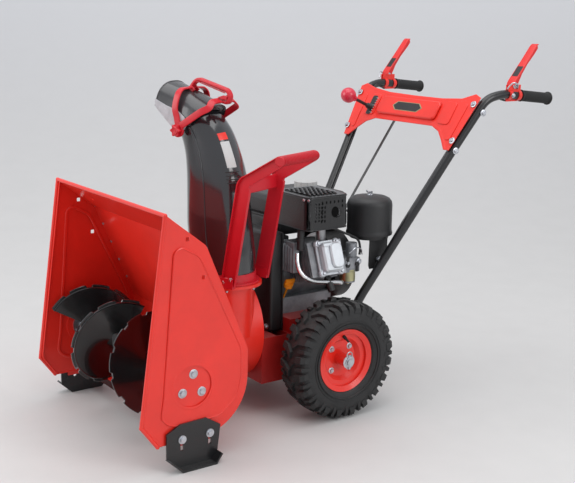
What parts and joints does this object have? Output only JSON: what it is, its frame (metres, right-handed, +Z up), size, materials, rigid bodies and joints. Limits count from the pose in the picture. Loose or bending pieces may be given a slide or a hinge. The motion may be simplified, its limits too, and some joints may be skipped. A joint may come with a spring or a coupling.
{
  "type": "snow blower",
  "caption": "Walk-behind two-stage snow blower with an auger intake, turning chute, small engine, wheels and a handlebar with controls.",
  "frame": {"origin": "on the ground, under the middle of the whole machine's box", "axes": "+X to the operator's left, -Y forward to the auger, +Z up"},
  "size_m": [0.6876, 1.3891, 1.0125],
  "materials": {
    "red_paint": "gloss powder coat",
    "dark_red_paint": "gloss powder coat",
    "crimson_plastic": "moulded, slight gloss",
    "red_plastic": "moulded, slight gloss",
    "black_gloss_plastic": "moulded, glossy",
    "black_plastic": "moulded, satin",
    "black_paint": "satin powder coat",
    "zinc": "zinc plated",
    "steel": "machined",
    "cast_aluminium": "die cast",
    "bright_aluminium": "painted silver",
    "bronze": "machined bronze",
    "rubber": "moulded",
    "tyre_rubber": "moulded tread",
    "orange_plastic": "moulded",
    "grey_plastic": "moulded",
    "cast_iron_black": "painted casting"
  },
  "bodies": {
    "chassis": {"auger_housing": "red_paint", "side_plates": "red_paint", "scraper_bar": "black_paint", "housing_bolts": "zinc", "bearings": "zinc", "gearbox_case": "cast_iron_black", "gearbox_brace": "black_paint", "impeller_housing": "red_paint", "chassis_box": "dark_red_paint", "belt_cover": "black_paint", "drive_chain": "steel", "drive_belts": "rubber", "crankcase": "cast_aluminium", "cylinder_head": "cast_aluminium", "rocker_cover": "bright_aluminium", "spark_plug": "black_plastic", "muffler": "steel", "muffler_shield": "black_paint", "carburetor": "cast_aluminium", "air_cleaner": "black_plastic", "fuel_tank": "black_gloss_plastic", "recoil_housing": "black_plastic", "handlebar": "black_paint", "handlebar_brackets": "red_paint", "dash_panel": "red_paint", "grips": "rubber", "control_cables": "black_plastic"},
    "wheels": {"axle": "zinc", "rims": "red_paint", "tyres": "tyre_rubber", "lynch_pins": "zinc"},
    "hex": {"hex_shaft": "steel"},
    "friction": {"friction_wheel": "rubber"},
    "impeller_body": {"impeller_shaft": "steel", "impeller": "black_paint", "impeller_pulley": "steel"},
    "auger": {"auger_shaft": "steel", "worm_wheel": "bronze", "auger_flights": "black_paint", "shear_bolts": "zinc"},
    "crank": {"crankshaft": "steel"},
    "disc": {"drive_disc": "steel"},
    "chute_body": {"chute_ring": "crimson_plastic", "chute": "black_gloss_plastic", "chute_handle": "crimson_plastic"},
    "deflector_body": {"deflector": "black_gloss_plastic", "deflector_frame": "crimson_plastic"},
    "knob_left": {"deflector_knob_left": "crimson_plastic"},
    "knob_right": {"deflector_knob_right": "crimson_plastic"},
    "skid_left": {"skid_shoe_left": "black_paint"},
    "skid_right": {"skid_shoe_right": "black_paint"},
    "lever_left": {"clutch_lever_left": "red_plastic"},
    "lever_right": {"clutch_lever_right": "red_plastic"},
    "shifter": {"gear_lever": "red_plastic"},
    "rod": {"shift_rod": "black_paint"},
    "starter": {"recoil_grip": "black_plastic"},
    "cap": {"fuel_cap": "grey_plastic"},
    "dip": {"dipstick": "orange_plastic"},
    "throttle": {"throttle_lever": "black_plastic"},
    "choke": {"choke_lever": "black_plastic"}
  },
  "joints": [
    {"name": "axle_spin", "type": "hinge", "parent": "chassis", "child": "wheels", "pos_m": [0, -0.048, 0.165], "axis": [1, 0, 0], "continuous": true},
    {"name": "hex_spin", "type": "hinge", "parent": "chassis", "child": "hex", "pos_m": [0, -0.1016, 0.18], "axis": [1, 0, 0], "continuous": true},
    {"name": "friction_slide", "type": "slide", "parent": "hex", "child": "friction", "axis": [1, 0, 0], "range_m": [-0.04, 0.04]},
    {"name": "impeller_spin", "type": "hinge", "parent": "chassis", "child": "impeller_body", "pos_m": [0, -0.305, 0.238], "axis": [0, 1, 0], "continuous": true},
    {"name": "auger_spin", "type": "hinge", "parent": "chassis", "child": "auger", "pos_m": [0, -0.549, 0.203], "axis": [1, 0, 0], "continuous": true},
    {"name": "engine_spin", "type": "hinge", "parent": "chassis", "child": "crank", "pos_m": [0, -0.048, 0.368], "axis": [0, 1, 0], "continuous": true},
    {"name": "disc_spin", "type": "hinge", "parent": "chassis", "child": "disc", "pos_m": [0, -0.143, 0.18], "axis": [0, 1, 0], "continuous": true},
    {"name": "chute_turn", "type": "hinge", "parent": "chassis", "child": "chute_body", "pos_m": [0.09, -0.305, 0.388], "axis": [0, 0, 1], "range_deg": [-26, 164]},
    {"name": "deflector_tilt", "type": "hinge", "parent": "chute_body", "child": "deflector_body", "pos_m": [-0.02016, -0.34729, 0.787], "axis": [0.3584, -0.9336, 0], "range_deg": [-10, 45]},
    {"name": "knob_left_turn", "type": "hinge", "parent": "chute_body", "child": "knob_left", "pos_m": [0.00672, -0.41731, 0.787], "axis": [0.3584, -0.9336, 0], "continuous": true},
    {"name": "knob_right_turn", "type": "hinge", "parent": "chute_body", "child": "knob_right", "pos_m": [-0.04704, -0.27727, 0.787], "axis": [0.3584, -0.9336, 0], "continuous": true},
    {"name": "skid_left_height", "type": "slide", "parent": "chassis", "child": "skid_left", "axis": [0, 0, 1], "range_m": [0, 0.025]},
    {"name": "skid_right_height", "type": "slide", "parent": "chassis", "child": "skid_right", "axis": [0, 0, 1], "range_m": [0, 0.025]},
    {"name": "lever_left_squeeze", "type": "hinge", "parent": "chassis", "child": "lever_left", "pos_m": [0.2795, 0.544, 0.893], "axis": [-1, 0, 0], "range_deg": [0, 45], "stiffness_Nm_per_rad": 1, "springref_deg": -17.19},
    {"name": "lever_right_squeeze", "type": "hinge", "parent": "chassis", "child": "lever_right", "pos_m": [-0.2795, 0.544, 0.893], "axis": [-1, 0, 0], "range_deg": [0, 45], "stiffness_Nm_per_rad": 1, "springref_deg": -17.19},
    {"name": "gear_shift", "type": "hinge", "parent": "chassis", "child": "shifter", "pos_m": [-0.17, 0.444, 0.774], "axis": [1, 0, 0], "range_deg": [-18, 18]},
    {"name": "rod_slide", "type": "slide", "parent": "chassis", "child": "rod", "axis": [0.0638, -0.6226, -0.78], "range_m": [-0.012, 0.012]},
    {"name": "starter_pull", "type": "slide", "parent": "chassis", "child": "starter", "axis": [0, 1, 0], "range_m": [0, 0.8], "stiffness_N_per_m": 12, "springref_m": -0.3},
    {"name": "fuel_cap_turn", "type": "hinge", "parent": "chassis", "child": "cap", "pos_m": [-0.06, 0.052, 0.582], "axis": [0, 0, 1], "range_deg": [0, 90]},
    {"name": "dipstick_turn", "type": "hinge", "parent": "chassis", "child": "dip", "pos_m": [0.084, -0.121, 0.318], "axis": [0.5, 0, 0.866], "range_deg": [0, 360]},
    {"name": "throttle_turn", "type": "hinge", "parent": "chassis", "child": "throttle", "pos_m": [0.1624, 0.04, 0.398], "axis": [1, 0, 0], "range_deg": [0, 60]},
    {"name": "choke_turn", "type": "hinge", "parent": "chassis", "child": "choke", "pos_m": [0.1624, 0.074, 0.398], "axis": [1, 0, 0], "range_deg": [-75, 0]}
  ],
  "couplings": [
    {"joint": "hex_spin", "follows": "axle_spin", "ratio": 3},
    {"joint": "auger_spin", "follows": "impeller_spin", "ratio": 0.045455},
    {"joint": "friction_slide", "follows": "gear_shift", "m_per_rad": 0.115},
    {"joint": "rod_slide", "follows": "gear_shift", "m_per_rad": 0.034}
  ]
}
